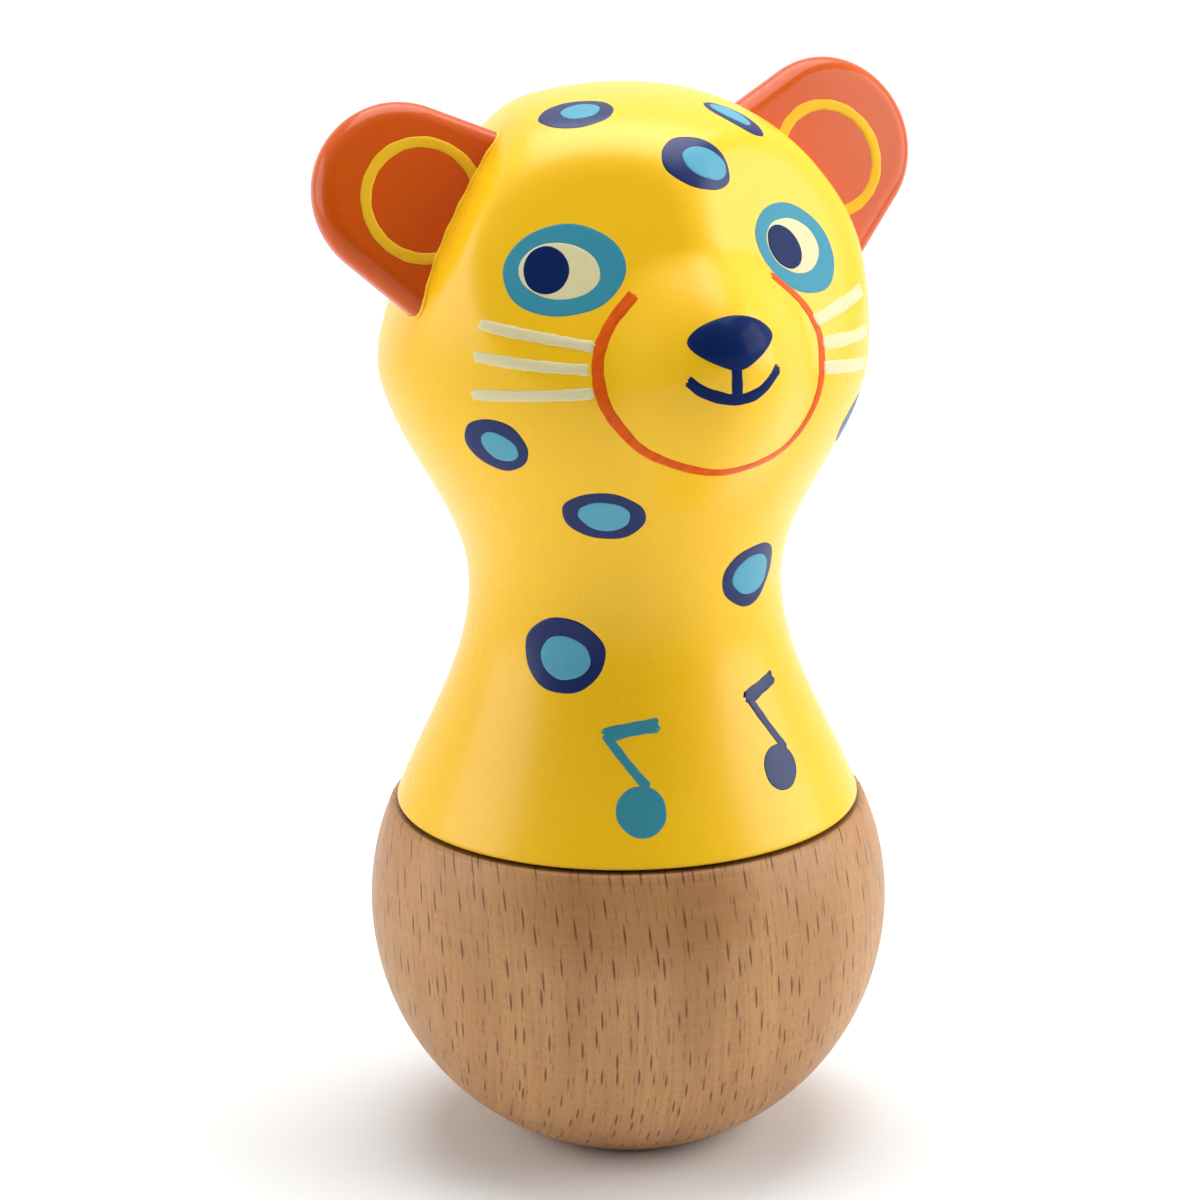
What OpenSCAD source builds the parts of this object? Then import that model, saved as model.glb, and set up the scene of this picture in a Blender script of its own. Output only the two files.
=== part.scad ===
// Toy maraca: a turned and carved animal on a ball-shaped bowl that holds loose beads.
// The foot stands on z = 0, and the face looks along -Y. Left and right are as seen from the front.

/* [Base bowl] */
// Diameter of the ball that the bowl is turned from
bowl_d = 62; // [56:1:70]
// Diameter of the flat foot under the ball
foot_d = 24; // [18:1:30]
// Height of the rim above the middle of the ball
rim_rise = 12.5; // [10:0.5:15]
// Width of the chamfer on the rim's outer corner
rim_chamfer = 0.25; // [0.15:0.05:0.5]
// Diameter of the bead chamber, which is also the socket at its mouth
chamber_d = 36; // [34:1:40]
// Thickness of wood under the chamber
floor_t = 9; // [7:0.5:12]

/* [Painted body] */
// Width of the bare ledge of rim around the skirt
ledge_w = 0.5; // [0.3:0.1:2]
// Height of the open seam between the skirt's edge and the rim
seam_gap = 0.45; // [0.3:0.05:0.8]
// How far the open seam runs in under the skirt
seam_depth = 2; // [1:0.1:3]
// Round on the skirt's lower edge
skirt_round = 0.6; // [0.4:0.1:1.5]
// Height of the waist above the rim
waist_rise = 27.5; // [24:0.5:32]
// Diameter of the waist
waist_d = 37; // [32:0.5:40]
// Height over which the skirt would swell from its narrowest to its fullest
skirt_swell = 38; // [34:0.5:48]
// Height of the cheeks, where the head is widest, above the waist
cheek_rise = 29; // [26:0.5:34]
// Diameter of the head at the cheeks
head_d = 57.6; // [54:0.2:62]
// Height of the crown above the cheeks
crown_rise = 29.3; // [27:0.1:32]
// Fullness of the crown, where 2 is an ellipse and more is squarer
crown_fullness = 2.4; // [2:0.1:3]
// Length of the spigot that plugs the bowl
spigot_len = 7; // [5:0.5:10]

/* [Carved face] */
// Height of the muzzle's tip above the cheeks
muzzle_rise = 3.4; // [2:0.2:6]
// How far the muzzle stands out from the turned head
muzzle_out = 4.6; // [2:0.1:6]
// Half of the muzzle's width
muzzle_w = 13.5; // [10:0.5:16]
// Reach of the muzzle above its tip
muzzle_up = 12.5; // [10:0.5:15]
// Reach of the muzzle below its tip
muzzle_down = 20; // [16:0.5:24]
// Distance of the flat cuts for the eyes from the middle of the cheeks
mask_reach = 26.8; // [26:0.1:28]
// Angle by which each flat cut turns to its side
mask_turn = 27; // [20:1:35]
// Angle by which each flat cut leans back
mask_tilt = 27; // [20:1:32]
// Soft edge of the flat cuts at the brow and the cheeks
brow_blend = 2.2; // [1:0.1:4]
// Soft edge between the two flat cuts, on the bridge of the nose
bridge_blend = 7; // [4:0.5:9]
// Height of the brow above the cheeks, up to which the rings are close
brow_rise = 26; // [24:0.5:27]

/* [Ears] */
// Radius of the ear's round end
ear_r = 10.4; // [9:0.2:13]
// Thickness of the ear
ear_t = 5.2; // [4.8:0.1:7]
// Radius of the ear's rounded edge
ear_edge = 2.3; // [1:0.1:2.5]
// Angle by which each side of the ear widens towards its root
ear_flare = 10; // [0:1:16]
// Height of the point that the ears spread from, above the cheeks
ear_rise = 1.3; // [0:0.1:4]
// Distance of the ear's centre outside the head's radius
ear_stand = 3.8; // [2:0.1:5]
// Angle of the ear's centre above the horizontal, seen from the front
ear_angle = 35.1; // [28:0.1:42]
// Angle by which the pair of ears is set askew, with the right one higher
ear_skew = 0.9; // [0:0.1:2]
// Angle by which the ears lean back
ear_lean = 20.5; // [10:0.5:30]
// Angle by which the ears turn outwards
ear_turn = 5; // [0:1:20]
// Depth of the head's flat seat below the ear's centre
seat_drop = 6.3; // [5:0.1:7]
// Soft edge of the flat seats
seat_blend = 1.2; // [0.6:0.1:2]

/* [Dowels] */
// Diameter of the ear dowel
dowel_d = 3; // [2.4:0.1:4]
// Length of the dowel in the ear, measured from the ear's centre
dowel_in_ear = 4; // [3:0.5:6]
// Length of the dowel below the ear's centre
dowel_in_head = 13; // [10:0.5:16]

/* [Beads] */
// Diameter of a loose bead
bead_d = 6; // [5:0.1:6.5]
// Space between neighbouring beads, at rest
bead_gap = 0.5; // [0.3:0.1:0.8]

/* [Fits] */
// Glue gap around the spigot, the dowels and behind the ears
glue_gap = 0.08; // [0.05:0.01:0.15]
// Clearance under a resting bead
rest_gap = 0.3; // [0.2:0.05:0.5]

/* [Hidden] */
$fn = 96;
bowl_r = bowl_d / 2;
bowl_z = sqrt(pow(bowl_r, 2) - pow(foot_d / 2, 2));
rim_z = bowl_z + rim_rise;
rim_r = sqrt(pow(bowl_r, 2) - pow(rim_rise, 2));
skirt_r = rim_r - ledge_w;
skirt_z = rim_z + seam_gap;
waist_z = rim_z + waist_rise;
waist_r = waist_d / 2;
cheek_z = waist_z + cheek_rise;
head_r = head_d / 2;
crown_z = cheek_z + crown_rise;
skirt_gain = (skirt_r - waist_r) / (1 - cos(180 * waist_rise / skirt_swell));
muzzle_z = cheek_z + muzzle_rise;
throat_z = muzzle_z - muzzle_down;
brow_z = cheek_z + brow_rise;
// Least cosine between a flat cut's direction and a place on the head that it can reach
least_facing = 0.2;

// Counts of the carved surface: columns on the front and the back half, and rings of each stretch
front_cols = 40;
back_cols = 30;
edge_rings = 4;
skirt_rings = 10;
neck_rings = 6;
face_rings = 30;
crown_rings = 7;

// Counts of the ear's surface: steps around its edge and round its end
ear_steps = 5;
ear_arc = 28;
ear_root = ear_r;
ear_reach = head_r + ear_stand;

bead_rings = 2;
bead_pitch = bead_d + bead_gap;
bead_places = concat(
    [[0, 0]],
    [for (ring = [1 : bead_rings], k = [0 : 6 * ring - 1])
        ring * bead_pitch * [cos(60 * k / ring), sin(60 * k / ring)]]);
bead_names = [for (k = [1 : len(bead_places)]) str("rattle_bead_", k < 10 ? "0" : "", k)];

// The smaller of two radii, with a soft edge where they are close
function soft_min(a, b, blend) =
    let (h = max(0, min(1, 0.5 + (b - a) / (2 * blend))))
    b + (a - b) * h - blend * h * (1 - h);

// Radius of the turned body at height z
function turned_r(z) =
    z < waist_z ? waist_r + skirt_gain * (1 - cos(180 * (waist_z - z) / skirt_swell)) :
    z < cheek_z ? waist_r + (head_r - waist_r) / 2 * (1 - cos(180 * (z - waist_z) / cheek_rise)) :
    z < crown_z ? head_r * pow(1 - pow((z - cheek_z) / crown_rise, crown_fullness), 1 / crown_fullness) :
    0;

// What the round on the skirt's lower edge takes off at height z
function edge_loss(z) =
    z - skirt_z < skirt_round
        ? skirt_round - sqrt(pow(skirt_round, 2) - pow(skirt_round - (z - skirt_z), 2))
        : 0;

// Muzzle: steep above its tip and long below it
function muzzle(x, z) =
    let (
        dz = z - muzzle_z,
        fall = dz > 0 ? pow(dz / muzzle_up, 3) : pow(dz / muzzle_down, 2),
        left = max(0, 1 - pow(x / muzzle_w, 2) - fall))
    muzzle_out * pow(left, 2);

// Radius of the flat cut for one eye
function mask_r(angle, z, side) =
    let (facing = cos(angle - side * mask_turn))
    facing > least_facing
        ? (mask_reach - sin(mask_tilt) * (z - cheek_z)) / (cos(mask_tilt) * facing)
        : head_d;

// Middle of an ear, and the way its own x points, both on the right side of the head
function ear_centre(tip) = [ear_reach * cos(tip), 0, cheek_z + ear_rise + ear_reach * sin(tip)];
function ear_way(tip) =
    let (x = cos(tip), y = sin(tip) * sin(ear_lean))
    [x * cos(ear_turn) - y * sin(ear_turn), x * sin(ear_turn) + y * cos(ear_turn), sin(tip) * cos(ear_lean)];

// Radius of the flat seat for one ear
function seat_r(angle, z, side) =
    let (
        tip = ear_angle + side * ear_skew,
        way = ear_way(tip),
        facing = side * way[0] * sin(angle) - way[1] * cos(angle))
    facing > least_facing ? (way * ear_centre(tip) - seat_drop - way[2] * z) / facing : head_d;

// One point of the carved body, at an angle from the middle of the face and a height
function body_point(angle, z) =
    let (
        turned = turned_r(z) - edge_loss(z),
        cut = soft_min(mask_r(angle, z, -1), mask_r(angle, z, 1), bridge_blend),
        seat = min(seat_r(angle, z, -1), seat_r(angle, z, 1)),
        out = cos(angle) > 0 ? muzzle(turned * sin(angle), z) : 0,
        r = soft_min(soft_min(turned, cut, brow_blend), seat, seat_blend) + out)
    [r * sin(angle), -r * cos(angle), z];

function spread(low, high, count) = [for (k = [0 : count - 1]) low + (high - low) * k / count];

// Rings crowd together towards the top of the crown, where it flattens
function crown_heights() =
    [for (k = [0 : crown_rings - 1]) crown_z - (crown_z - brow_z) * pow(1 - k / crown_rings, 2)];

module carved_shell() {
    angles = concat(spread(-90, 90, front_cols), spread(90, 270, back_cols));
    heights = concat(
        [for (k = [0 : edge_rings - 1]) skirt_z + skirt_round * (1 - cos(90 * k / edge_rings))],
        spread(skirt_z + skirt_round, waist_z, skirt_rings),
        spread(waist_z, throat_z, neck_rings),
        spread(throat_z, brow_z, face_rings),
        crown_heights());
    cols = len(angles);
    rings = len(heights);
    top = cols * rings;
    points = concat(
        [for (z = heights, angle = angles) body_point(angle, z)],
        [[0, 0, crown_z]]);
    foot = [[for (c = [0 : cols - 1]) c]];
    walls = [for (i = [0 : rings - 2], c = [0 : cols - 1], half = [0, 1])
        let (d = (c + 1) % cols, low = i * cols, high = low + cols)
        half == 0 ? [low + c, high + c, high + d] : [low + c, high + d, low + d]];
    cap = [for (c = [0 : cols - 1]) [top - cols + c, top, top - cols + (c + 1) % cols]];
    polyhedron(points, concat(foot, walls, cap));
}

// The turned head without its carving, grown by a gap; the ears are cut to it and to their flat seats
module turned_head(gap) {
    heights = concat(spread(waist_z, brow_z, neck_rings + face_rings), crown_heights());
    outline = [for (z = heights) [turned_r(z) + gap, z]];
    rotate_extrude()
        polygon(concat([[0, waist_z]], outline, [[0, crown_z + gap]]));
}

// Puts an ear's own frame on the head: x runs outwards in the ear's plane, and z is its front
module ear_frame(side) {
    tip = ear_angle + side * ear_skew;
    mirror([side < 0 ? 1 : 0, 0, 0])
        translate(ear_centre(tip))
            rotate([90 - ear_lean, 0, ear_turn])
                rotate(tip)
                    children();
}

// Outline of the ear, set in from its edge: a round end with straight sides that widen to the root
function ear_outline(inset) =
    let (
        r = ear_r - inset,
        bend = 90 - ear_flare,
        width = r * cos(ear_flare) + (ear_root + r * sin(ear_flare)) * tan(ear_flare))
    concat(
        [for (k = [0 : ear_arc]) let (a = bend * (2 * k / ear_arc - 1)) r * [cos(a), sin(a)]],
        [[-ear_root, width], [-ear_root, -width]]);

module ear_blank() {
    half = ear_t / 2;
    turns = [for (k = [0 : ear_steps]) 90 * k / ear_steps];
    levels = concat(
        [for (a = turns) [ear_edge * (1 - cos(90 - a)), -half + ear_edge * (1 - cos(a))]],
        [for (a = turns) [ear_edge * (1 - cos(a)), half - ear_edge * (1 - sin(a))]]);
    count = len(ear_outline(0));
    layers = len(levels);
    points = [for (level = levels, p = ear_outline(level[0])) [p[0], p[1], level[1]]];
    back = [for (c = [0 : count - 1]) count - 1 - c];
    front = [for (c = [0 : count - 1]) (layers - 1) * count + c];
    walls = [for (i = [0 : layers - 2], c = [0 : count - 1], half_face = [0, 1])
        let (d = (c + 1) % count, low = i * count, high = low + count)
        half_face == 0 ? [low + c, high + d, high + c] : [low + c, low + d, high + d]];
    polyhedron(points, concat([[for (c = back) c]], [[for (c = front) c]], walls));
}

// Dowel, or its hole where it is grown by a gap, along the ear's own x
module ear_pin(gap) {
    translate([-dowel_in_head - gap, 0, 0])
        rotate([0, 90, 0])
            cylinder(d = dowel_d + 2 * gap, h = dowel_in_head + dowel_in_ear + 2 * gap);
}

module base_bowl() {
    corner = rim_r - rim_chamfer;
    color("burlywood")
        difference() {
            intersection() {
                translate([0, 0, bowl_z])
                    sphere(r = bowl_r);
                rotate_extrude()
                    polygon([[0, 0], [bowl_d, 0], [bowl_d, rim_z - bowl_d + corner], [corner, rim_z],
                        [0, rim_z]]);
            }
            translate([0, 0, floor_t])
                cylinder(d = chamber_d, h = rim_z);
        }
}

module painted_body() {
    color("gold")
        difference() {
            union() {
                carved_shell();
                translate([0, 0, rim_z])
                    cylinder(r = skirt_r - skirt_round - seam_depth, h = seam_gap + skirt_round);
                translate([0, 0, rim_z - spigot_len])
                    cylinder(d = chamber_d - 2 * glue_gap, h = spigot_len + skirt_round);
            }
            for (side = [-1, 1])
                ear_frame(side)
                    ear_pin(glue_gap);
        }
}

module ear(side) {
    color("orangered")
        difference() {
            ear_frame(side)
                ear_blank();
            intersection() {
                turned_head(glue_gap);
                ear_frame(side)
                    translate([glue_gap - seat_drop - head_d, -head_r, -head_r])
                        cube(head_d);
            }
            ear_frame(side)
                ear_pin(glue_gap);
        }
}

module ear_dowel(side) {
    color("wheat")
        ear_frame(side)
            ear_pin(0);
}

module rattle_bead(place) {
    color("silver")
        translate([place[0], place[1], floor_t + rest_gap + bead_d / 2])
            sphere(d = bead_d);
}

base_bowl();
painted_body();
ear(-1);  // ear_left
ear(1);  // ear_right
ear_dowel(-1);  // ear_dowel_left
ear_dowel(1);  // ear_dowel_right
for (k = [0 : len(bead_places) - 1])
    rattle_bead(bead_places[k]);
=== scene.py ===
import math
import bpy
import numpy as np
from mathutils import Matrix, Vector


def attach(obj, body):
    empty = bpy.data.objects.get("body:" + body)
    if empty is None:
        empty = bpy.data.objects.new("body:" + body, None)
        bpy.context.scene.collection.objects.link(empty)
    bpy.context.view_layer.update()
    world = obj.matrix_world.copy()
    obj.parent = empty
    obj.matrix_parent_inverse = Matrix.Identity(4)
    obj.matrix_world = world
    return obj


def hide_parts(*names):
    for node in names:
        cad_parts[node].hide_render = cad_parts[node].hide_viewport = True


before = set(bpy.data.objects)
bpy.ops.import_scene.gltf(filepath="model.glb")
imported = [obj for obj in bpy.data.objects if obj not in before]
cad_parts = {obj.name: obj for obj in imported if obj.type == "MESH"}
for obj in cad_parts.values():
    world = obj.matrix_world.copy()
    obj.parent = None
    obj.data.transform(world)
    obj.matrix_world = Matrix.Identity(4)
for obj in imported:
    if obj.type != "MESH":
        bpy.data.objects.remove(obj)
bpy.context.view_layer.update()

mm = 0.001
print("frame loaded:", len(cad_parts), "pieces")


# shader sums written as Python

class Wire:
    def __init__(self, tree, socket=None):
        self.tree = tree
        self.socket = socket

    def node(self, kind, settings=None, sockets=None, out=0):
        made = self.tree.nodes.new(kind)
        for name, value in (settings or {}).items():
            setattr(made, name, value)
        for key, value in (sockets or {}).items():
            if isinstance(value, Wire):
                self.tree.links.new(value.socket, made.inputs[key])
            else:
                made.inputs[key].default_value = value
        return Wire(self.tree, made.outputs[out])

    def maths(self, operation, first, second=0.0):
        return self.node("ShaderNodeMath", {"operation": operation}, {0: first, 1: second})

    def __add__(self, other):
        return self.maths("ADD", self, other)

    def __sub__(self, other):
        return self.maths("SUBTRACT", self, other)

    def __rsub__(self, other):
        return self.maths("SUBTRACT", other, self)

    def __mul__(self, other):
        return self.maths("MULTIPLY", self, other)

    __radd__ = __add__
    __rmul__ = __mul__

    def between(self, low, high):  # 0 below low, 1 above high, smooth in between
        return self.node("ShaderNodeMapRange", {"interpolation_type": "SMOOTHSTEP"},
                         {"Value": self, "From Min": low, "From Max": high})

    def tint(self, first, second):  # first colour where this is 0, second where it is 1
        return self.node("ShaderNodeMix", {"data_type": "RGBA"}, {0: self, 6: first, 7: second}, out=2)

    def noise(self, place, scale, detail=2.0):
        return self.node("ShaderNodeTexNoise", {}, {"Vector": place, "Scale": scale, "Detail": detail})

    def stretched(self, place, sizes, turn=(0, 0, 0)):  # sizes of one wave along each turned axis, mm
        return self.node("ShaderNodeMapping", {"vector_type": "TEXTURE"},
                         {"Vector": place, "Scale": [v * mm for v in sizes], "Rotation": turn})


def srgb(*levels):  # colour picked as 0-255 levels, with full alpha
    linear = [v / 255 / 12.92 if v < 11 else ((v / 255 + 0.055) / 1.055) ** 2.4 for v in levels]
    return (*linear, 1.0)


def freshMaterial(name):
    material = bpy.data.materials.new(name)
    material.use_nodes = True
    tree = material.node_tree
    tree.nodes.clear()
    shader = tree.nodes.new("ShaderNodeBsdfPrincipled")
    output = tree.nodes.new("ShaderNodeOutputMaterial")
    tree.links.new(shader.outputs[0], output.inputs[0])
    start = Wire(tree)
    return material, shader, start, start.node("ShaderNodeTexCoord", out=3)


def feed(tree, shader, **sockets):  # number, colour or Wire for each named socket
    for name, value in sockets.items():
        socket = shader.inputs[name.replace("_", " ")]
        if isinstance(value, Wire):
            tree.links.new(value.socket, socket)
        else:
            socket.default_value = value


# waves per metre of the soft clouds and fine specks, one brush mark in mm, bump in m
paint = {"cloud": 60, "fine": 900, "brush": (0.7, 0.7, 4.0), "brushTurn": (0.4, 0.5, 0),
         "relief": 0.00008, "uneven": 0.04}


def paintMaterial(name, colour, shade, rough=0.32, grain=0.12, streak=0.1, sheen=0.12):
    material, shader, start, place = freshMaterial(name)
    cloud = start.noise(place, paint["cloud"], 3)
    fine = start.noise(place, paint["fine"], 2)
    brush = start.noise(start.stretched(place, paint["brush"], paint["brushTurn"]), 1, 3)
    worn = cloud.between(0.3, 0.75) * 0.5 + fine.between(0.35, 0.7) * 0.1
    worn = worn + brush.between(0.4, 0.7) * streak
    bump = start.node("ShaderNodeBump", {}, {
        "Strength": grain, "Distance": paint["relief"], "Height": brush * 0.6 + fine * 0.2})
    feed(start.tree, shader, Base_Color=worn.tint(colour, shade), Normal=bump, Specular_IOR_Level=sheen,
         Roughness=rough + (fine - 0.5) * paint["uneven"])
    return material


# sizes in mm; each tone has the share by which it covers the one before it
beech = {
    "facing": -22.8, "upright": -7.0, "bow": 0.0041, "plain": 0.3,  # how the fibres turn and lean
    "bands": (11, 20, 110), "bandTurn": (-0.1, 0, -0.17), "grain": (0.6, 16, 1),
    "speck": (0.22, 0.7, 1), "turning": (60, 60, 0.45),
    # room for one ray fleck, half its size, how patchily it fades, and how dark it is
    "flecks": [((2.1, 5.4), (0.19, 1.8), 260, 1.0), ((1.5, 3.6), (0.12, 1.1), 350, 0.5)],
    # where the painted shade on the side facing the camera lies, below the seam
    "frontShadeRise": 9, "frontShadeWide": 0.0025, "frontShadeHigh": 0.011,
    # where the painted shade in the seam under the skirt lies
    "seamOut": (-0.25, 0.15), "seamUp": (-0.06, -0.01),
    "pale": srgb(205, 153, 97), "brown": srgb(180, 129, 77),
    # two tones are painted shade: the darker patch on the camera side and the dark line in the seam
    "tones": {"frontShade": (srgb(148, 100, 59), 0.4), "grain": (srgb(163, 113, 70), 0.4),
              "speck": (srgb(150, 102, 62), 0.35), "turning": (srgb(214, 170, 122), 0.09),
              "fleck": (srgb(104, 60, 32), 0.9), "seam": (srgb(70, 50, 34), 0.7)},
    "rough": 0.36, "sheen": 0.4, "bump": 0.25, "relief": 0.00008,
}


def beechMaterial(name):
    material, shader, start, place = freshMaterial(name)
    b = beech
    level = start.stretched(place, (1, 1, 1), (0, 0, math.radians(b["facing"])))
    x, y, z = (start.node("ShaderNodeSeparateXYZ", {}, {0: level}, out=k) for k in range(3))
    ring = x * x + y * y
    girth = start.maths("ARCTAN2", x, start.maths("ABSOLUTE", y)) * start.maths("SQRT", ring)
    rise = start.maths("ARCSINE", (z - bowlZ) * (1 / bowlR)) * bowlR
    fromUpright = rise - b["upright"]
    lean = fromUpright * fromUpright  # to one side above, to the other side below
    across = b["plain"] * x + (1 - b["plain"]) * girth + b["bow"] * lean
    sheet = start.node("ShaderNodeCombineXYZ", {}, {0: across * mm, 1: rise * mm})
    bands = start.noise(start.stretched(place, b["bands"], b["bandTurn"]), 1, 2).between(0.3, 0.7)
    grain = start.noise(start.stretched(sheet, b["grain"]), 1, 3)
    speck = start.noise(start.stretched(sheet, b["speck"]), 1, 2)
    turning = start.noise(start.stretched(place, b["turning"]), 1, 2)
    under = 1 - ring.between(*((skirtR + out) ** 2 for out in b["seamOut"]))
    seam = under * z.between(*(rimZ + up for up in b["seamUp"]))  # painted shade in the gap under the skirt
    layers = []
    for cell, half, patchy, dark in b["flecks"]:
        spot = start.stretched(sheet, (*cell, 1))
        middle = start.node("ShaderNodeTexVoronoi", {"voronoi_dimensions": "2D"},
                            {"Vector": spot, "Scale": 1.0, "Randomness": 0.8}, out=2)
        away = start.node("ShaderNodeVectorMath", {"operation": "SUBTRACT"}, {0: spot, 1: middle})
        spread = (cell[0] / half[0], cell[1] / half[1], 0)
        away = start.node("ShaderNodeVectorMath", {"operation": "MULTIPLY"}, {0: away, 1: spread})
        reach = start.node("ShaderNodeVectorMath", {"operation": "LENGTH"}, {0: away}, out=1)
        fade = start.noise(place, patchy, 1).between(0.2, 0.55)
        layers.append((1 - reach.between(0.4, 1)) * (fade * 0.6 + 0.4) * dark)
    fleck = start.maths("MAXIMUM", *layers)
    fromFrontShade = rise - b["frontShadeRise"]
    frontShade = x * x * b["frontShadeWide"] + fromFrontShade * fromFrontShade * b["frontShadeHigh"]
    frontShade = (1 - frontShade.between(0.1, 1)) * (1 - y.between(-5, 5))  # painted shade: a darker patch below the seam on the front, towards the camera
    covers = {"frontShade": frontShade, "grain": grain.between(0.35, 0.7), "speck": speck.between(0.45, 0.75),
              "turning": turning.between(0.45, 0.7), "fleck": fleck, "seam": seam}
    colour = bands.tint(b["pale"], b["brown"])
    for part, (tone, share) in b["tones"].items():
        colour = (covers[part] * share).tint(colour, tone)
    height = grain * 0.3 + turning * 0.14 + speck * 0.3 - fleck * 0.3
    bump = start.node("ShaderNodeBump", {}, {
        "Strength": b["bump"], "Distance": b["relief"], "Height": height})
    feed(start.tree, shader, Base_Color=colour, Normal=bump, Specular_IOR_Level=b["sheen"],
         Roughness=b["rough"] + grain * 0.12)
    return material


def dowelMaterial(name):
    material, shader, start, place = freshMaterial(name)
    grain = start.noise(start.stretched(place, (12, 0.5, 0.5), (0.0, 0.6, 0.0)), 1, 3)
    colour = grain.between(0.3, 0.7).tint(srgb(222, 190, 145), srgb(198, 160, 112))
    feed(start.tree, shader, Base_Color=colour, Roughness=0.5 + grain * 0.15)
    return material


def steelMaterial(name):
    material, shader, start, place = freshMaterial(name)
    scratch = start.noise(place, 1600, 3)
    colour = scratch.between(0.3, 0.7).tint(srgb(196, 198, 202), srgb(172, 174, 180))
    feed(start.tree, shader, Base_Color=colour, Metallic=1.0, Roughness=0.22 + scratch * 0.12)
    return material


# measured sizes, mm, as in the solids but for a finer seam, softer ear seats and a crisper bridge

carving = {
    "bowlWidth": 62.0, "footWidth": 24.0, "rimRise": 12.5, "rimChamfer": 0.25, "chamberWidth": 36.0,
    "floor": 9.0, "spigot": 7.0, "glueGap": 0.08, "ledge": 0.5, "seamGap": 0.36, "seamDepth": 2.0,
    "skirtRound": 0.6, "waistRise": 27.5, "waistWidth": 37.0, "skirtSwell": 38.0,
    "cheekRise": 29.0, "headWidth": 57.6, "crownRise": 29.3, "crownFullness": 2.4,
    "muzzleRise": 3.4, "muzzleOut": 4.6, "muzzleWidth": 13.5, "muzzleUp": 12.5, "muzzleDown": 20.0,
    "maskTurn": 27.0, "maskTilt": 27.0, "maskReach": 26.8, "browBlend": 2.2, "bridgeBlend": 3.2,
}
c = carving
bowlR = c["bowlWidth"] / 2
bowlZ = math.sqrt(bowlR ** 2 - (c["footWidth"] / 2) ** 2)
rimZ = bowlZ + c["rimRise"]
rimR = math.sqrt(bowlR ** 2 - c["rimRise"] ** 2)
skirtR = rimR - c["ledge"]
skirtZ = rimZ + c["seamGap"]
waistZ = rimZ + c["waistRise"]
waistR = c["waistWidth"] / 2
cheekZ = waistZ + c["cheekRise"]
headR = c["headWidth"] / 2
crownZ = cheekZ + c["crownRise"]
skirtGain = (skirtR - waistR) / (1 - math.cos(math.pi * c["waistRise"] / c["skirtSwell"]))


def turnedRadius(z):
    skirt = waistR + skirtGain * (1 - np.cos(np.pi * (waistZ - z) / c["skirtSwell"]))
    neck = waistR + (headR - waistR) / 2 * (1 - np.cos(np.pi * (z - waistZ) / c["cheekRise"]))
    rise = np.clip((z - cheekZ) / c["crownRise"], 0, 1)
    crown = headR * (1 - rise ** c["crownFullness"]) ** (1 / c["crownFullness"])
    edge = np.clip(1 - (z - skirtZ) / c["skirtRound"], 0, 1)
    loss = c["skirtRound"] * (1 - np.sqrt(1 - edge ** 2))
    return np.where(z < waistZ, skirt, np.where(z < cheekZ, neck, crown)) - loss


def softMin(first, second, blend):
    h = np.clip(0.5 + (second - first) / (2 * blend), 0, 1)
    return second + (first - second) * h - blend * h * (1 - h)


def maskRadius(angle, z, side):  # flat cut for one eye
    tilt = math.radians(c["maskTilt"])
    facing = np.cos(angle - side * math.radians(c["maskTurn"]))
    reach = c["maskReach"] - math.sin(tilt) * (z - cheekZ)
    return np.where(facing > 0.2, reach / (math.cos(tilt) * np.maximum(facing, 0.2)), 1000.0)


def muzzle(x, z):  # steep above its tip and long below it
    dz = z - (cheekZ + c["muzzleRise"])
    fall = np.where(dz > 0, np.abs(dz / c["muzzleUp"]) ** 3, (dz / c["muzzleDown"]) ** 2)
    return c["muzzleOut"] * np.clip(1 - (x / c["muzzleWidth"]) ** 2 - fall, 0, None) ** 2


ear = {"radius": 10.4, "thick": 5.2, "edge": 2.3, "flare": 10, "rise": 1.3, "stand": 3.8, "angle": 35.1,
       "skew": 0.9, "lean": 20.5, "turn": 5, "seatDrop": 6.1, "seatBlend": 4.6,
       "arc": 72, "side": 12, "steps": 12}


def earFrame(side):
    reach = headR + ear["stand"]
    tip = math.radians(ear["angle"] + side * ear["skew"])
    place = Matrix.Translation((reach * math.cos(tip), 0, cheekZ + ear["rise"] + reach * math.sin(tip)))
    turn = Matrix.Rotation(math.radians(ear["turn"]), 4, "Z")
    lean = Matrix.Rotation(math.radians(90 - ear["lean"]), 4, "X")
    whole = place @ turn @ lean @ Matrix.Rotation(tip, 4, "Z")
    if side < 0:
        whole = Matrix.Diagonal((-1, 1, 1, 1)) @ whole
    return np.array(whole)


def seatRadius(angle, z, side):  # flat seat for one ear
    whole = earFrame(side)
    way = whole[:3, 0]
    facing = way[0] * np.sin(angle) - way[1] * np.cos(angle)
    left = way @ whole[:3, 3] - ear["seatDrop"] - way[2] * z
    return np.where(facing > 0.2, left / np.maximum(facing, 0.2), 1000.0)


def bodyRadius(angle, z):
    r = turnedRadius(z)
    cut = softMin(maskRadius(angle, z, -1), maskRadius(angle, z, 1), c["bridgeBlend"])
    seat = np.minimum(seatRadius(angle, z, -1), seatRadius(angle, z, 1))
    out = np.where(np.cos(angle) > 0, muzzle(r * np.sin(angle), z), 0)
    return softMin(softMin(r, cut, c["browBlend"]), seat, ear["seatBlend"]) + out


def bodyPoint(angle, z):  # angle from the middle of the face, radians
    r = bodyRadius(angle, z)
    return np.stack([r * np.sin(angle), -r * np.cos(angle), z + 0 * r], -1)


# meshes

def meshObject(name, points, faces, material, node=None):
    mesh = bpy.data.meshes.new(name)
    mesh.from_pydata((np.asarray(points) * mm).tolist(), [], faces)
    mesh.validate()
    mesh.shade_smooth()
    mesh.materials.append(material)
    piece = bpy.data.objects.new(name, mesh)
    bpy.context.scene.collection.objects.link(piece)
    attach(piece, "maraca")
    if node:
        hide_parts(node)
    return piece


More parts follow.
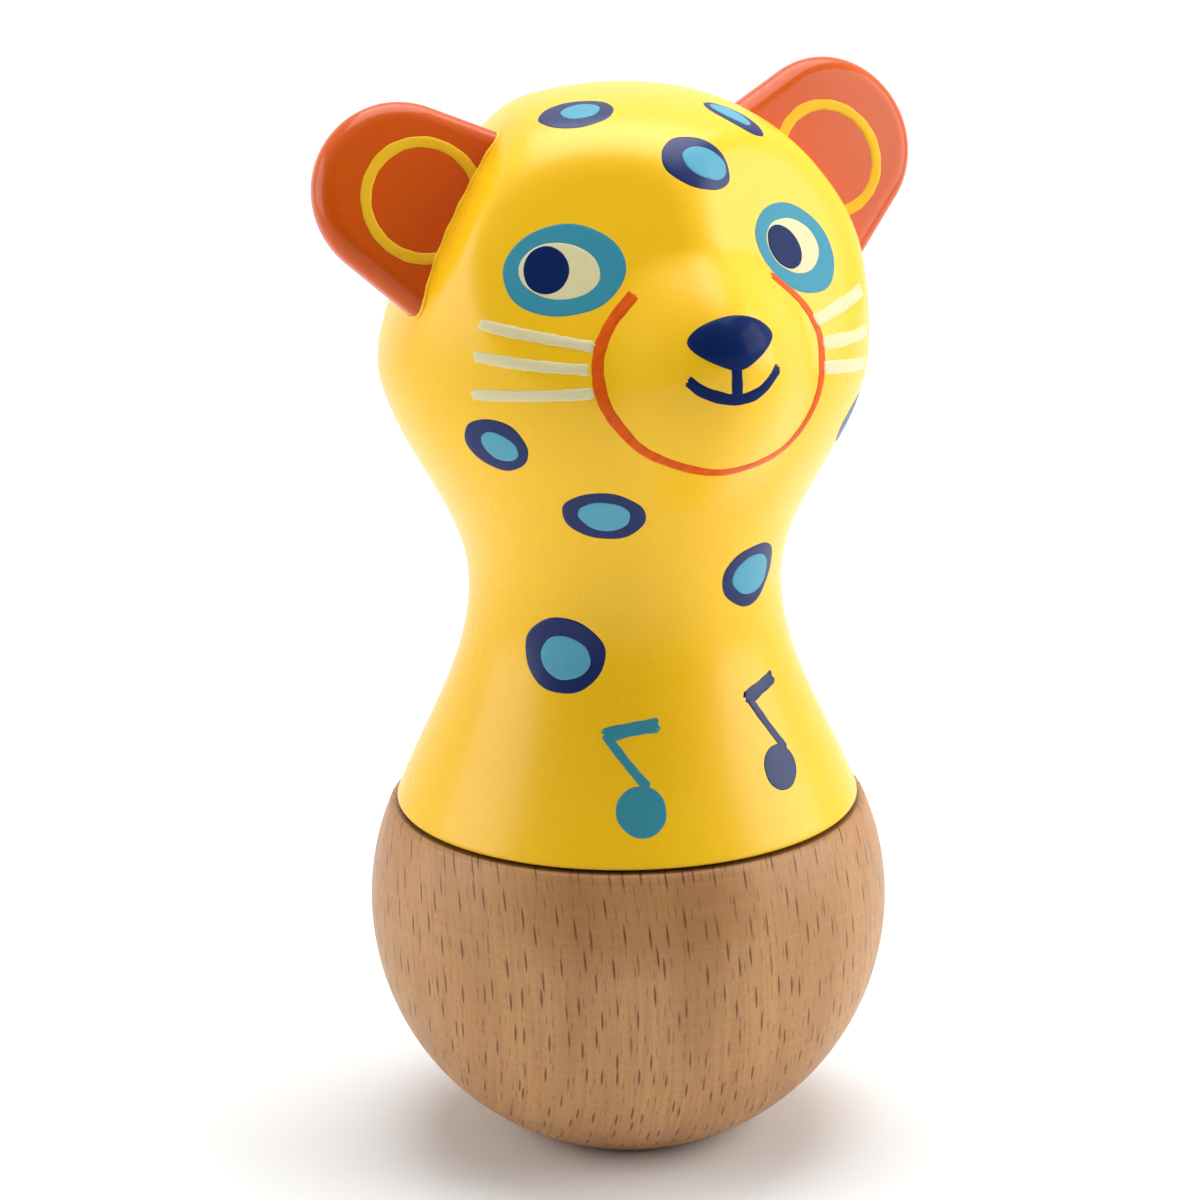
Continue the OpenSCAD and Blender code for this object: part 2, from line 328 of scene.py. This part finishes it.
def gridFaces(rows, columns, closed):
    last = columns if closed else columns - 1
    return [(i * columns + j, i * columns + (j + 1) % columns,
             (i + 1) * columns + (j + 1) % columns, (i + 1) * columns + j)
            for i in range(rows - 1) for j in range(last)]


def closedGrid(grid, low, high):  # rings from bottom to top, shut by one point at each end
    rows, columns = grid.shape[:2]
    points = np.concatenate([grid.reshape(-1, 3), [low, high]])
    top = rows * columns
    faces = gridFaces(rows, columns, True)
    faces += [((j + 1) % columns, j, top) for j in range(columns)]
    faces += [(top - columns + j, top - columns + (j + 1) % columns, top + 1) for j in range(columns)]
    return points, faces


bodyMesh = {"columns": 288, "edgeRings": 8, "sideRings": 200, "crownRings": 44, "crownFrom": 0.72,
            "sharp": 60}


def makeBody(material):
    n = bodyMesh
    low = skirtZ + c["skirtRound"]
    high = cheekZ + n["crownFrom"] * c["crownRise"]
    bend = np.linspace(0, np.pi / 2, n["edgeRings"], endpoint=False)
    heights = np.concatenate([
        skirtZ + c["skirtRound"] * (1 - np.cos(bend)),
        np.linspace(low, high, n["sideRings"], endpoint=False),
        crownZ - (crownZ - high) * (1 - np.linspace(0, 1, n["crownRings"], endpoint=False)) ** 2])
    angles = np.linspace(-np.pi, np.pi, n["columns"], endpoint=False)
    grid = bodyPoint(angles[None, :], heights[:, None])
    plugR = c["chamberWidth"] / 2 - c["glueGap"]
    seatR = skirtR - c["skirtRound"] - c["seamDepth"]
    ring = np.stack([np.sin(angles), -np.cos(angles)], -1)
    plug = [np.column_stack([r * ring, np.full(len(ring), z)]) for r, z in (
        (plugR, rimZ - c["spigot"]), (plugR, rimZ), (seatR, rimZ), (seatR, skirtZ))]
    points, faces = closedGrid(np.concatenate([plug, grid]), (0, 0, rimZ - c["spigot"]), (0, 0, crownZ))
    piece = meshObject("painted_figure", points, faces, material, "painted_body")
    piece.data.set_sharp_from_angle(angle=math.radians(n["sharp"]))


# the edges' points run out and up from the foot and the rim; the arc between them stops short of both
bowl = {"columns": 256, "arcSteps": 120, "wallSteps": 10, "footTrim": 0.015, "rimTrim": 0.008,
        "sharp": 60,
        "footEdge": [(-2.0, 0.0), (-0.5, 0.0), (-0.15, 0.04), (0.1, 0.2)],
        "rimEdge": [(-0.08, -0.1), (-0.18, -0.02), (-c["rimChamfer"], 0.0)]}


def makeBowl(material):
    foot = c["footWidth"] / 2
    low = -math.acos(foot / bowlR) + bowl["footTrim"]
    high = math.asin(c["rimRise"] / bowlR) - bowl["rimTrim"]
    arc = np.linspace(low, high, bowl["arcSteps"])
    outline = [(foot + out, up) for out, up in bowl["footEdge"]]
    outline += [(bowlR * math.cos(a), bowlZ + bowlR * math.sin(a)) for a in arc]
    outline += [(rimR + out, rimZ + up) for out, up in bowl["rimEdge"]]
    outline += [(c["chamberWidth"] / 2, z) for z in np.linspace(rimZ, c["floor"], bowl["wallSteps"])]
    angles = np.linspace(0, 2 * np.pi, bowl["columns"], endpoint=False)
    ring = np.stack([np.cos(angles), np.sin(angles)], -1)
    grid = np.array([np.column_stack([r * ring, np.full(len(ring), z)]) for r, z in outline])
    points, faces = closedGrid(grid, (0, 0, 0), (0, 0, c["floor"]))
    piece = meshObject("beech_bowl", points, faces, material, "base_bowl")
    piece.data.set_sharp_from_angle(angle=math.radians(bowl["sharp"]))


def moved(matrix, points):
    return np.asarray(points) @ matrix[:3, :3].T + matrix[:3, 3]


def earOutline(inset):
    r, flare = ear["radius"] - inset, math.radians(ear["flare"])
    a = np.linspace(flare - np.pi / 2, np.pi / 2 - flare, ear["arc"])
    run = (ear["radius"] + r * math.sin(flare)) * np.linspace(0, 1, ear["side"] + 1)[1:]
    root = np.stack([r * math.sin(flare) - run, r * math.cos(flare) + run * math.tan(flare)], -1)
    bend = r * np.stack([np.cos(a), np.sin(a)], -1)
    return np.concatenate([bend, root, root[::-1] * (1, -1)])


def makeEar(side, name, material):
    half = ear["thick"] / 2
    a = np.linspace(0, np.pi / 2, ear["steps"])
    levels = [(ear["edge"] * (1 - math.sin(t)), -half + ear["edge"] * (1 - math.cos(t))) for t in a]
    levels += [(inset, -w) for inset, w in levels[::-1]]
    rings = [np.column_stack([earOutline(i), np.full(len(earOutline(i)), w)]) for i, w in levels]
    count = len(rings[0])
    points = moved(earFrame(side), np.concatenate(rings))
    faces = gridFaces(len(rings), count, True)
    faces += [tuple(range(count))[::-1], tuple(range((len(rings) - 1) * count, len(rings) * count))]
    if side < 0:
        faces = [f[::-1] for f in faces]
    meshObject(name, points, faces, material, "ear_left" if side < 0 else "ear_right")


# brushwork: thin raised paint laid on the carved surface

def inside(points):
    x, y, z = np.moveaxis(points, -1, 0)
    return (np.hypot(x, y) < bodyRadius(np.arctan2(x, -y), z)) & (z < crownZ)


search = {"halvings": 24, "reach": 5.0, "rootReach": 12.0, "probe": 0.05}


def dropOn(points, ways):  # slides points along their ways onto the surface
    low = np.full(points.shape[:-1], -search["reach"])
    high = -low
    for _ in range(search["halvings"]):
        middle = (low + high) / 2
        within = inside(points + middle[..., None] * ways)
        low, high = np.where(within, middle, low), np.where(within, high, middle)
    return points + high[..., None] * ways


def depth(points):
    x, y, z = np.moveaxis(points, -1, 0)
    return np.hypot(x, y) - bodyRadius(np.arctan2(x, -y), z)


def unit(vectors):
    return vectors / np.linalg.norm(vectors, axis=-1, keepdims=True)


def normals(points):
    steps = search["probe"] * np.eye(3)
    return unit(np.stack([depth(points + step) - depth(points - step) for step in steps], -1))


def addTo(layer, points, faces):
    start = sum(len(p) for p in layer["points"])
    layer["points"].append(points.reshape(-1, 3))
    layer["faces"] += [tuple(k + start for k in f[::-1]) for f in faces]


def smoothLine(points, steps, closed=False):
    p = np.asarray(points, float)
    if closed:
        p = np.concatenate([p[-1:], p, p[:2]])
    else:
        p = np.concatenate([2 * p[:1] - p[1:2], p, 2 * p[-1:] - p[-2:-1]])
    t = np.linspace(0, 1, steps, endpoint=False)[:, None]
    parts = [0.5 * (2 * b + (d - a) * t + (2 * a - 5 * b + 4 * d - e) * t ** 2
                    + (3 * b - a - 3 * d + e) * t ** 3)
             for a, b, d, e in zip(p, p[1:], p[2:], p[3:])]
    return np.concatenate(parts if closed else parts + [p[-2:-1]])


# the last ring of each daub and stroke dips under the surface, so that no edge floats
daubMesh = {"round": 72, "rings": (0.3, 0.55, 0.75, 0.88, 0.95, 0.985, 1.0),
            "heights": (1.0, 1.0, 1.0, 1.0, 0.85, 0.45, -0.4),
            "dome": (0.93, 0.76, 0.54, 0.36, 0.24, 0.12, -0.1)}


def daub(layer, angle, z, wide, high, tilt=0.0, outline=None, relief=0.05, lift=0.0, seed=1, wobble=0.025,
         profile="heights"):
    rng = np.random.default_rng(seed)
    t = np.linspace(0, 2 * np.pi, daubMesh["round"], endpoint=False)
    rough = 1 + wobble * sum(np.sin(k * t + rng.uniform(0, 6.28)) / (0.6 * k) for k in (2, 3, 5, 8))
    if outline:
        flat = smoothLine(outline, daubMesh["round"] // len(outline), True)
        flat = flat * rough[:len(flat), None]
    else:
        flat = np.stack([wide * np.cos(t), high * np.sin(t)], -1) * rough[:, None]
    turn = math.radians(tilt)
    flat = flat @ np.array([[math.cos(turn), math.sin(turn)], [-math.sin(turn), math.cos(turn)]])
    centre = bodyPoint(np.radians(angle), np.float64(z))
    up = normals(centre)
    across = unit(np.cross((0, 0, 1), up))
    frameUp = np.cross(up, across)
    rings = [centre[None] + lift * up + relief * up]
    for part, height in zip(daubMesh["rings"], daubMesh[profile]):
        spread = centre + part * (flat[:, :1] * across + flat[:, 1:] * frameUp)
        rings.append(dropOn(spread, up + 0 * spread) + (lift + relief * height) * up)
    count = len(flat)
    faces = [tuple(k + 1 for k in f) for f in gridFaces(len(daubMesh["rings"]), count, True)]
    faces += [(1 + (j + 1) % count, 1 + j, 0) for j in range(count)]
    addTo(layer, np.concatenate(rings), faces)


strokeMesh = {"step": 0.3, "across": (-1.0, -0.92, -0.65, -0.3, 0.0, 0.3, 0.65, 0.92, 1.0),
              "heights": (-0.4, 0.35, 0.85, 1.0, 1.0, 1.0, 0.85, 0.35, -0.4), "endHeight": -0.4,
              "blunt": 0.55, "endRun": 0.2, "waves": (0.35, 0.8, 2.1), "waver": 0.1, "ragged": 0.22,
              "hairs": 0.22, "hairRun": 1.7}


def ribbon(layer, centre, up, width, relief, lift, seed, onBody, taper=0.0):
    m = strokeMesh
    rng = np.random.default_rng(seed)
    across = np.array(m["across"])
    run = np.concatenate([[0], np.cumsum(np.linalg.norm(np.diff(centre, axis=0), axis=1))])
    along = unit(np.gradient(centre, axis=0))
    side = unit(np.cross(up, along))
    toEnd = np.clip(np.minimum(run, run[-1] - run) / (m["endRun"] * width), 0, 1)
    wave = sum(np.sin(run / size + rng.uniform(0, 6.28)) for size in m["waves"]) / len(m["waves"])
    ends = m["blunt"] + (1 - m["blunt"]) * np.sqrt(1 - (1 - toEnd) ** 2)
    half = width / 2 * (1 - taper * run / run[-1]) * ends * (1 + m["waver"] * wave)
    ragged = np.zeros((len(centre), len(across)))
    ragged[[0, 1]], ragged[[-2, -1]] = rng.uniform(-m["ragged"], m["ragged"], (2, len(across)))
    points = centre[:, None] + (half[:, None] * across)[..., None] * side[:, None]
    points = points + ragged[..., None] * along[:, None]
    if onBody:
        points = dropOn(points, up[:, None] + 0 * points)
    hairs = m["hairs"] * np.sin(run[:, None] / m["hairRun"] + rng.uniform(0, 6.28, len(across)))
    height = relief * (np.array(m["heights"]) + hairs * (np.abs(across) < 0.9))  # flat at the edges
    height[[0, -1]] = m["endHeight"] * relief
    points = points + (lift + height)[..., None] * up[:, None]
    addTo(layer, points, gridFaces(len(centre), len(across), False))


def stroke(layer, line, width, relief=0.06, lift=0.0, seed=1, taper=0.0):  # along (angle, height) points
    path = smoothLine(line, 40)
    places = bodyPoint(np.radians(path[:, 0]), path[:, 1])
    run = np.concatenate([[0], np.cumsum(np.linalg.norm(np.diff(places, axis=0), axis=1))])
    pick = np.linspace(0, run[-1], max(10, int(run[-1] / strokeMesh["step"])))
    angle, z = np.interp(pick, run, path[:, 0]), np.interp(pick, run, path[:, 1])
    centre = bodyPoint(np.radians(angle), z)
    ribbon(layer, centre, normals(centre), width, relief, lift, seed, True, taper)


# places are angle from the middle of the face and height; then half sizes and tilt

eyes = {
    "patches": [(-38.4, 110.9, 6.85, 5.4, 7), (34.4, 110.9, 6.45, 5.3, -30)],
    "whites": [(-39.6, 110.8, 4.55, 3.3, -4), (33.6, 111.2, 4.2, 3.35, -14)],
    "pupils": [(-43.0, 110.9, 2.6, 2.75, 0), (30.0, 111.3, 2.8, 2.45, -62)],
}
mouth = {
    "nose": (0.0, 104.3, [(-5.2, 0.8), (-3.3, 2.4), (0.3, 3.1), (3.8, 2.3), (5.3, 0.6), (2.9, -1.8),
                          (-0.3, -3.1), (-3.8, -1.4)]),
    "stem": [(-0.6, 102.0), (-0.4, 97.8)],
    "smile": [(-10.0, 100.3), (-6.7, 98.9), (-0.9, 97.9), (4.6, 98.4), (10.1, 100.7)],
    "ring": [(-19.4, 108.8), (-25.7, 105.4), (-28.4, 101.8), (-27.2, 97.5), (-23.1, 94.0), (-16.8, 91.0),
             (-3.7, 88.5), (6.6, 88.3), (19.3, 89.6), (26.3, 93.4), (29.5, 99.0), (30.6, 102.2),
             (28.0, 105.7), (20.2, 109.1)],
    "whiskers": [[(-57.3, 105.1), (-29.0, 103.1)], [(-58.3, 101.4), (-30.2, 100.7)],
                 [(-59.0, 96.9), (-29.0, 98.2)], [(30.2, 103.2), (53.8, 104.6)],
                 [(30.7, 100.7), (55.5, 99.6)], [(29.5, 98.1), (54.0, 95.9)]],
}
# ring and centre of each rosette; the later rows are out of the photograph's sight
rosettes = [
    ((-52.4, 125.9, 4.45, 3.7, 24), (-50.6, 126.0, 2.3, 2.0, 37)),
    ((5.5, 121.8, 4.3, 3.55, -37), (8.3, 121.5, 2.8, 2.1, -28)),
    ((45.5, 124.6, 4.1, 2.1, 86), (46.3, 124.8, 2.7, 1.35, 81)),
    ((-54.3, 91.0, 4.2, 3.45, -9), (-53.2, 90.9, 2.35, 1.85, -19)),
    ((-28.5, 82.5, 4.7, 3.75, -5), (-28.3, 82.5, 3.05, 2.2, -5)),
    ((27.4, 72.3, 4.7, 3.9, -12), (28.1, 72.2, 3.25, 2.55, -18)),
    ((-45.4, 64.3, 5.2, 4.35, -3), (-44.6, 64.0, 3.15, 2.5, -2)),
    ((57.0, 88.9, 4.6, 3.0, 0), (58.5, 88.9, 2.6, 1.7, 0)),
    ((104, 80.0, 4.8, 4.2, 20), (104.5, 79.8, 2.8, 2.3, 20)),
    ((-146, 68.0, 5.0, 4.2, -15), (-146, 67.8, 2.9, 2.3, -15)),
    ((-136, 94.0, 5.0, 4.4, 30), (-135.5, 94.0, 2.9, 2.4, 30)),
    ((132, 95.0, 5.4, 4.2, -20), (132, 94.8, 3.1, 2.3, -20)),
    ((178, 104.0, 5.2, 4.6, 10), (178, 103.8, 3.0, 2.5, 10)),
    ((-172, 81.0, 5.0, 4.2, 0), (-172, 81.0, 2.8, 2.3, 0)),
    ((142, 72.0, 4.6, 4.4, 15), (142, 71.8, 2.7, 2.4, 15)),
    ((148, 119.0, 4.8, 3.8, 10), (148, 119.0, 2.8, 2.0, 10)),
    ((-150, 117.0, 5.0, 4.0, -12), (-150, 117.0, 2.9, 2.2, -12)),
    ((118, 63.0, 4.8, 4.4, 0), (118, 62.8, 2.8, 2.4, 0)),
]
# head, stem and flag of each note
tealNotes = [
    ((-19.1, 47.7, 3.05, 2.95, 79), [(-16.8, 50.1), (-29.5, 55.9)],
     [(-30.2, 55.7), (-21.5, 56.4), (-12.3, 56.8)]),
    ((102, 48.0, 3.0, 2.8, 15), [(104.6, 50.2), (92, 56.4)], [(90.6, 56.4), (108, 57.4)]),
    ((-176, 47.5, 3.0, 2.9, 10), [(-173.4, 49.8), (-186, 56.0)], [(-187.2, 56.2), (-169, 56.8)]),
]
navyNotes = [
    ((25.4, 49.9, 2.85, 2.6, 32), [(30.2, 51.4), (21.1, 58.0)],
     [(19.4, 57.9), (26.8, 58.6), (36.0, 59.3)]),
    ((-152, 49.0, 3.0, 2.5, 20), [(-148.6, 51.0), (-160, 57.6)], [(-161.4, 57.8), (-144, 59.6)]),
    ((142, 50.2, 3.0, 2.6, 18), [(145.4, 52.2), (134, 58.8)], [(132.6, 59.0), (150, 60.6)]),
]
earLines = {
    "width": 1.35, "relief": 0.09, "steps": 110,
    -1: {"centre": (-2.24, -0.12), "radius": 6.67, "turns": (140, -142)},
    1: {"centre": (-2.49, -0.61), "radius": 6.39, "turns": (128, -136)},
}
# widths of the strokes, left and right for the whiskers, and how far paint stands on paint, mm
strokes = {"stem": 1.35, "smile": 1.4, "ring": 1.55, "whiskers": (1.35, 1.6), "noteStem": 1.15,
           "noteFlag": 1.75, "coat": 0.05}


def makeMarks(paints):
    layers = {name: {"points": [], "faces": []} for name in paints}
    for k, place in enumerate(eyes["patches"]):
        daub(layers["eye_blue"], *place, seed=20 + k, wobble=0.018)
    for k, place in enumerate(eyes["whites"]):
        daub(layers["cream_marks"], *place, lift=strokes["coat"], seed=24 + k, wobble=0.015)
    for k, place in enumerate(eyes["pupils"]):
        daub(layers["nose_paint"], *place, lift=2 * strokes["coat"], seed=27 + k, wobble=0.012)
    angle, z, outline = mouth["nose"]
    daub(layers["nose_paint"], angle, z, 1, 1, outline=outline, relief=0.5, seed=31, wobble=0.01,
         profile="dome")
    stroke(layers["nose_paint"], mouth["stem"], strokes["stem"], seed=32)
    stroke(layers["nose_paint"], mouth["smile"], strokes["smile"], 0.07, seed=33)
    stroke(layers["orange_ring"], mouth["ring"], strokes["ring"], seed=34, taper=0.3)
    for k, line in enumerate(mouth["whiskers"]):
        stroke(layers["cream_marks"], line, strokes["whiskers"][k // 3], 0.13, seed=35 + k)
    for k, (ring, centre) in enumerate(rosettes):
        daub(layers["navy_marks"], *ring, seed=50 + k, wobble=0.03)
        daub(layers["light_blue_spots"], *centre, lift=strokes["coat"], seed=80 + k, wobble=0.03)
    for name, notes in (("teal_notes", tealNotes), ("navy_marks", navyNotes)):
        for k, (head, stem, flag) in enumerate(notes):
            daub(layers[name], *head, seed=110 + k, wobble=0.02)
            stroke(layers[name], stem, strokes["noteStem"], seed=120 + k)
            stroke(layers[name], flag, strokes["noteFlag"], seed=130 + k)
    for side in (-1, 1):
        e = earLines[side]
        a = np.radians(np.linspace(*e["turns"], earLines["steps"]))
        flat = e["centre"] + e["radius"] * np.stack([np.cos(a), np.sin(a)], -1)
        line = np.column_stack([flat, np.full(len(a), ear["thick"] / 2)])
        matrix = earFrame(side)
        up = np.repeat(matrix[None, :3, 2], len(a), 0)
        ribbon(layers["ear_lines"], moved(matrix, line), up, earLines["width"], earLines["relief"], 0.0,
               140 + side, False)
    for name, layer in layers.items():
        meshObject(name, np.concatenate(layer["points"]), layer["faces"], paints[name])


joint = {"radius": 0.3, "around": 10, "along": 40, "corner": 7}


def makeJoints(material):  # paint gathered in the corner around each ear
    half, edge, n = ear["thick"] / 2, ear["edge"], joint["along"]
    t = np.linspace(0, np.pi / 2, joint["corner"])[1:-1]
    inset, level = edge * (1 - np.sin(t)), half - edge * (1 - np.cos(t))
    flat = np.stack([np.linspace(-1, 1, n), np.full(n, edge), np.full(n, half)], -1)
    near = np.stack([np.ones(len(t)), inset, level], -1)
    far = near[::-1] * (1, 1, -1)
    loop = np.concatenate([flat, near, far, flat[::-1] * (1, 1, -1), far[::-1] * (-1, 1, 1),
                           near[::-1] * (-1, 1, 1)])
    flare = math.radians(ear["flare"])
    r = ear["radius"] - loop[:, 1]
    points, faces = [], []
    for side in (-1, 1):
        low, high = np.full(len(loop), -search["rootReach"]), np.zeros(len(loop))
        for _ in range(search["halvings"]):
            u = (low + high) / 2
            v = loop[:, 0] * (r * math.cos(flare) + (r * math.sin(flare) - u) * math.tan(flare))
            centre = moved(earFrame(side), np.stack([u, v, loop[:, 2]], -1))
            within = inside(centre)
            low, high = np.where(within, u, low), np.where(within, high, u)
        along = unit(np.roll(centre, -1, 0) - np.roll(centre, 1, 0))
        up = normals(centre)
        out = unit(np.cross(along, up))
        turns = np.linspace(0, 2 * np.pi, joint["around"], endpoint=False)[:, None]
        thick = joint["radius"] * (1 + 0.2 * np.sin(np.arange(len(loop)) * 0.9))[:, None, None]
        tube = centre[:, None] + thick * (np.cos(turns) * up[:, None] + np.sin(turns) * out[:, None])
        count, start = len(turns), len(points) * len(loop) * len(turns)
        rows = gridFaces(len(loop) + 1, count, True)
        faces += [tuple(k % (len(loop) * count) + start for k in f) for f in rows]
        points.append(tube.reshape(-1, 3))
    meshObject("ear_joint_paint", np.concatenate(points), faces, material)


# the photograph's camera

view = {"distance": 560.0, "azimuth": -22.8, "elevation": 17.03, "aimZ": 65.51, "roll": -0.63,
        "lens": 141.6, "sensor": 36.0, "shiftX": -0.0209}


def makeCamera():
    a, e, roll = (math.radians(view[k]) for k in ("azimuth", "elevation", "roll"))
    back = Vector((math.sin(a) * math.cos(e), -math.cos(a) * math.cos(e), math.sin(e)))
    right = Vector((math.cos(a), math.sin(a), 0))
    up = back.cross(right)
    axisX = right * math.cos(roll) + up * math.sin(roll)
    axisY = up * math.cos(roll) - right * math.sin(roll)
    data = bpy.data.cameras.new("camera")
    data.lens, data.sensor_width, data.shift_x = view["lens"], view["sensor"], view["shiftX"]
    data.clip_start, data.clip_end = 0.01, 20
    camera = bpy.data.objects.new("camera", data)
    camera.matrix_world = Matrix((axisX, axisY, back)).transposed().to_4x4()
    camera.location = back * view["distance"] * mm + Vector((0, 0, view["aimZ"] * mm))
    bpy.context.scene.collection.objects.link(camera)
    bpy.context.scene.camera = camera


# studio: white floor that fades into a white world, and soft boxes

studio = {"floorRadius": 0.5, "floorSides": 96, "floorColour": (0.93, 0.957, 0.972, 1),
          "fadeFrom": 0.16, "fadeTo": 0.45, "ambient": 0.44, "under": 1.15,
          "dim": 0.9, "dimSide": (-0.39, -0.92, 0.0),  # the room behind the camera is darker
          "aim": (0, 0, 0.065),
          # name, degrees to the right of the face and up, distance and size in m, power in W
          "boxes": [("right", 64, 21, 0.55, 0.45, 2.3), ("left", -105, 17, 0.55, 0.40, 1.35),
                    ("top", 150, 77, 0.50, 0.45, 2.6)]}


def makeWorld():
    s = studio
    world = bpy.data.worlds.new("studio")
    bpy.context.scene.world = world
    world.use_nodes = True
    tree = world.node_tree
    tree.nodes.clear()
    start = Wire(tree)
    rays = {k: start.node("ShaderNodeLightPath", out="Is " + k + " Ray")
            for k in ("Camera", "Glossy", "Transmission")}
    way = start.node("ShaderNodeTexCoord", out=0)
    front = start.node("ShaderNodeVectorMath", {"operation": "DOT_PRODUCT"},
                       {0: way, 1: s["dimSide"]}, out=1)
    mirrored = start.maths("MAXIMUM", rays["Glossy"], rays["Transmission"])
    down = start.node("ShaderNodeSeparateXYZ", {}, {0: way}, out=2) * -1
    below = down.between(0.0, 0.2)
    level = below * (s["under"] - s["ambient"]) + s["ambient"]
    shade = 1 - s["dim"] * front.between(0.1, 0.95) * (1 - below)
    around = start.maths("MAXIMUM", level, mirrored) * shade
    light = start.node("ShaderNodeBackground", {}, {
        "Color": (1, 1, 1, 1), "Strength": start.maths("MAXIMUM", around, rays["Camera"])})
    output = tree.nodes.new("ShaderNodeOutputWorld")
    tree.links.new(light.socket, output.inputs[0])


def makeFloor():
    s = studio
    material = bpy.data.materials.new("floor")
    material.use_nodes = True
    tree = material.node_tree
    tree.nodes.clear()
    start = Wire(tree)
    place = start.node("ShaderNodeTexCoord", out=3)
    away = start.node("ShaderNodeVectorMath", {"operation": "LENGTH"}, {0: place}, out=1)
    white = start.node("ShaderNodeBsdfDiffuse", {}, {"Color": s["floorColour"]})
    clear = start.node("ShaderNodeBsdfTransparent")
    fade = away.between(s["fadeFrom"], s["fadeTo"])
    both = start.node("ShaderNodeMixShader", {}, {0: fade, 1: white, 2: clear})
    output = tree.nodes.new("ShaderNodeOutputMaterial")
    tree.links.new(both.socket, output.inputs[0])
    mesh = bpy.data.meshes.new("floor")
    turns = np.linspace(0, 2 * math.pi, s["floorSides"], endpoint=False)
    ring = [(s["floorRadius"] * math.cos(t), s["floorRadius"] * math.sin(t), 0) for t in turns]
    mesh.from_pydata(ring, [], [tuple(range(len(ring)))])
    mesh.materials.append(material)
    floor = bpy.data.objects.new("floor", mesh)
    bpy.context.scene.collection.objects.link(floor)


def makeLights():
    aim = Vector(studio["aim"])
    for name, azimuth, elevation, distance, size, power in studio["boxes"]:
        a, e = math.radians(azimuth), math.radians(elevation)
        away = Vector((math.sin(a) * math.cos(e), -math.cos(a) * math.cos(e), math.sin(e)))
        data = bpy.data.lights.new(name, "AREA")
        data.size, data.energy = size, power
        lamp = bpy.data.objects.new(name, data)
        lamp.location = aim + away * distance
        lamp.rotation_euler = away.to_track_quat("Z", "Y").to_euler()
        bpy.context.scene.collection.objects.link(lamp)


bpy.context.scene.view_settings.view_transform = "Standard"
makeCamera()
makeWorld()
makeFloor()
makeLights()
print("camera and studio made")

yellow = paintMaterial("yellow_paint", srgb(251, 199, 27), srgb(250, 194, 21), 0.28, 0.12, 0.05, 0.35)
orange = paintMaterial("orange_paint", srgb(207, 84, 8), srgb(199, 78, 6), 0.18, 0.2, 0.1, 0.3)
makeBody(yellow)
makeEar(-1, "left_ear", orange)
makeEar(1, "right_ear", orange)
makeJoints(yellow)
makeBowl(beechMaterial("beech"))
print("figure and bowl made")

makeMarks({
    "navy_marks": paintMaterial("navy_paint", srgb(25, 43, 98), srgb(20, 36, 85), 0.3, 0.25, 0.1, 0.24),
    "nose_paint": paintMaterial("nose_paint", srgb(17, 39, 92), srgb(14, 33, 80), 0.2, 0.2, 0.1, 0.06),
    "light_blue_spots": paintMaterial("light_blue_paint", srgb(94, 168, 192), srgb(82, 154, 180),
                                      0.34, 0.3),
    "eye_blue": paintMaterial("eye_blue_paint", srgb(64, 148, 170), srgb(54, 136, 158), 0.34, 0.3),
    "cream_marks": paintMaterial("cream_paint", srgb(228, 220, 174), srgb(216, 206, 158), 0.36, 0.3),
    "orange_ring": paintMaterial("ring_paint", srgb(236, 98, 20), srgb(206, 76, 14), 0.34, 0.3, 0.5),
    "teal_notes": paintMaterial("teal_paint", srgb(62, 143, 162), srgb(52, 130, 150), 0.34, 0.3),
    "ear_lines": paintMaterial("ear_line_paint", srgb(238, 190, 40), srgb(226, 174, 30), 0.34, 0.3),
})
print("brushwork made")

finishes = {"ear_dowel": dowelMaterial("dowel_wood"), "rattle_bead": steelMaterial("bead_steel")}
for name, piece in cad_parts.items():
    for start, material in finishes.items():
        if name.startswith(start):
            piece.data.materials.clear()
            piece.data.materials.append(material)
print("dowels and beads finished")
